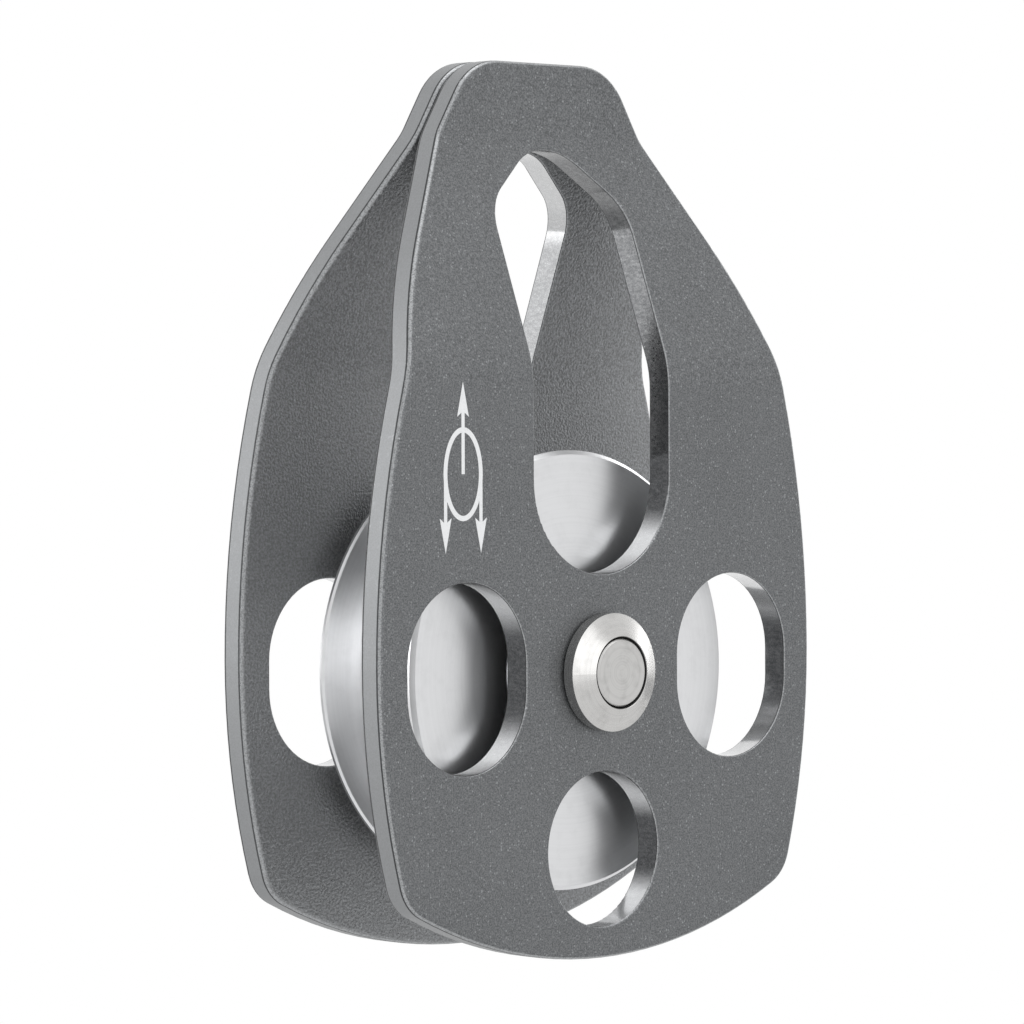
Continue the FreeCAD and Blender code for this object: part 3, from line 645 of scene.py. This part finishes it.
def mark_material(settings):
    """Pale marked lines, a little uneven where the grains show through."""
    material, tree = new_material("mark_white")
    place = tree.millimetres()
    grains = tree.noise(place, 3.0, 3.0, 0.6)
    skin = tree.blend(grains.step(0.5, 0.8) * 0.4, colour(settings.paint), THIN_PAINT)
    tree.surface(Base_Color=skin, Roughness=0.55 + grains * 0.2,
                 Normal=tree.bump(grains, 0.5, PAINT_GRAINS))
    return material


def load_mark(settings, side, material):
    """Ring and arrows for one plate, joined in one piece that rides on it."""
    outward = -1.0 if side == "front" else 1.0
    low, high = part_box(side + "_side_plate")
    face = low.y if side == "front" else high.y
    middle = -settings.side
    rope = (settings.ring_width - settings.line) / 2
    height = settings.height
    load_tip = height + settings.load_reach
    rope_tip = height - settings.rope_reach
    pieces = [
        flat_ring(settings, face),
        flat_arrow(settings, face, middle, height, load_tip),
        flat_arrow(settings, face, middle - rope, height, rope_tip),
        flat_arrow(settings, face, middle + rope, height, rope_tip),
    ]
    for order, piece in enumerate(pieces):
        # Each crosses the one before it a little higher, so that no two tops coincide.
        raise_lines(piece, settings.thickness * (1.0 + LINE_STEP * order), outward)
    deselect()
    for piece in pieces:
        piece.select_set(True)
    bpy.context.view_layer.objects.active = pieces[0]
    bpy.ops.object.join()
    mark = bpy.context.object
    mark.name = side + "_load_mark"
    if side == "rear":
        # Seen from behind, the mark lies on the same hand as on the front.
        for vert in mark.data.vertices:
            vert.co.x = -vert.co.x
        mark.data.flip_normals()
    mark.data.materials.clear()
    mark.data.materials.append(material)
    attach(mark, side + "_cheek")
    return mark


class PULLEY_OT_marks(bpy.types.Operator):
    """Mark the load directions on both side plates"""

    bl_idname = "pulley.load_marks"
    bl_label = "Load marks"

    def execute(self, context):
        settings = context.scene.pulley_marks
        material = mark_material(settings)
        for side in SIDES:
            load_mark(settings, side, material)
        return {"FINISHED"}


# ---------------------------------------------------------------- stage

def seen_directly(tree):
    """1 for rays that the camera, a mirror or glass sends out."""
    path = tree.add("ShaderNodeLightPath", output="Is Camera Ray")
    return path.highest(path.out("Is Glossy Ray")).highest(path.out("Is Transmission Ray"))


def floor_material(settings):
    """A pale, matte floor that turns into plain white away from the pulley."""
    material, tree = new_material("studio_floor")
    place = tree.add("ShaderNodeTexCoord", output="Object")
    haze = tree.noise(place, 3.0, 2.0)
    pale = [channel * 0.97 for channel in settings.floor]
    tone = tree.blend(haze, colour(settings.floor), colour(pale))
    matte = tree.add("ShaderNodeBsdfDiffuse", None, {"Color": tone})
    white = tree.add("ShaderNodeEmission", None, {"Color": WHITE, "Strength": 1.0})
    x, y, _ = tree.split(place)
    away = ((x * x + y * y) ** 0.5).step(*FLOOR_FADE)
    share = seen_directly(tree) * (settings.glow + away * (1.0 - settings.glow))
    mixed = tree.add("ShaderNodeMixShader", None, {0: share, 1: matte, 2: white})
    tree.add("ShaderNodeOutputMaterial", None, {"Surface": mixed})
    return material


def studio_world(settings):
    """Even light all round, which is seen as plain white."""
    world = bpy.data.worlds.new("studio_world")
    bpy.context.scene.world = world
    tree = Tree(world)
    even = tree.add("ShaderNodeBackground", None, {"Color": WHITE, "Strength": settings.fill})
    white = tree.add("ShaderNodeBackground", None, {"Color": WHITE, "Strength": 1.0})
    mixed = tree.add("ShaderNodeMixShader", None, {0: seen_directly(tree), 1: even, 2: white})
    tree.add("ShaderNodeOutputWorld", None, {"Surface": mixed})


def soft_box(name, place, size, power):
    """A rectangular studio lamp that faces the pulley."""
    lamp = bpy.data.lights.new(name, "AREA")
    lamp.shape = "RECTANGLE"
    lamp.size, lamp.size_y = size
    lamp.energy = power
    holder = bpy.data.objects.new(name, lamp)
    bpy.context.collection.objects.link(holder)
    holder.location = place
    holder.rotation_euler = (LAMP_TARGET - Vector(place)).to_track_quat("-Z", "Y").to_euler()


def studio_camera(settings):
    """The camera stands left of straight on, nearly level, with a long lens."""
    turn = -settings.turn
    rise = settings.rise
    back = Vector((math.sin(turn) * math.cos(rise), -math.cos(turn) * math.cos(rise),
                   math.sin(rise)))
    right = (-back).cross(Vector((0, 0, 1))).normalized()
    up = right.cross(-back)
    rolled_right = right * math.cos(settings.roll) + up * math.sin(settings.roll)
    rolled_up = up * math.cos(settings.roll) - right * math.sin(settings.roll)
    data = bpy.data.cameras.new("studio_camera")
    data.lens = settings.lens
    data.sensor_width = SENSOR_WIDTH
    camera = bpy.data.objects.new("studio_camera", data)
    bpy.context.collection.objects.link(camera)
    axes = Matrix((rolled_right, rolled_up, back)).transposed()
    place = CAMERA_TARGET + back * settings.distance
    camera.matrix_world = Matrix.Translation(place) @ axes.to_4x4()
    bpy.context.scene.camera = camera


class PULLEY_OT_stage(bpy.types.Operator):
    """Set up the floor, the lamps and the camera"""

    bl_idname = "pulley.stage"
    bl_label = "Stage"

    def execute(self, context):
        settings = context.scene.pulley_stage
        context.scene.view_settings.view_transform = "Standard"
        studio_camera(settings)
        studio_world(settings)
        deselect()
        # The pulley hangs free, so that a side plate can swing right round above the floor.
        level = -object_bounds()[1].z - settings.clearance
        bpy.ops.mesh.primitive_plane_add(size=FLOOR_SIZE, location=(0.0, 0.0, level))
        floor = bpy.context.object
        floor.name = "studio_floor"
        floor.data.materials.append(floor_material(settings))
        floor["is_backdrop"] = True
        for name, (place, size, power) in LAMPS.items():
            soft_box(name, place, size, power)
        return {"FINISHED"}


# ---------------------------------------------------------------- panel

GROUPS = (
    ("pulley_plates", PULLEY_PG_plates, PULLEY_OT_plates),
    ("pulley_sheave", PULLEY_PG_sheave, PULLEY_OT_sheave),
    ("pulley_axle", PULLEY_PG_axle, PULLEY_OT_axle),
    ("pulley_bearings", PULLEY_PG_bearings, PULLEY_OT_bearings),
    ("pulley_marks", PULLEY_PG_marks, PULLEY_OT_marks),
    ("pulley_stage", PULLEY_PG_stage, PULLEY_OT_stage),
)


class PULLEY_PT_panel(bpy.types.Panel):
    """Sizes and finishes of the rope pulley"""

    bl_label = "Rope Pulley"
    bl_idname = "PULLEY_PT_panel"
    bl_space_type = "VIEW_3D"
    bl_region_type = "UI"
    bl_category = "Pulley"

    def draw(self, context):
        for name, group, operator in GROUPS:
            box = self.layout.box()
            box.operator(operator.bl_idname)
            settings = getattr(context.scene, name)
            for field in group.__annotations__:
                box.prop(settings, field)


def register():
    for name, group, operator in GROUPS:
        bpy.utils.register_class(group)
        bpy.utils.register_class(operator)
        setattr(bpy.types.Scene, name, PointerProperty(type=group))
    bpy.utils.register_class(PULLEY_PT_panel)


def unregister():
    bpy.utils.unregister_class(PULLEY_PT_panel)
    for name, group, operator in reversed(GROUPS):
        delattr(bpy.types.Scene, name)
        bpy.utils.unregister_class(operator)
        bpy.utils.unregister_class(group)


def main():
    register()
    bpy.ops.pulley.side_plates()
    bpy.ops.pulley.sheave()
    bpy.ops.pulley.axle()
    bpy.ops.pulley.bearings()
    bpy.ops.pulley.load_marks()
    bpy.ops.pulley.stage()


if __name__ == "__main__":
    main()
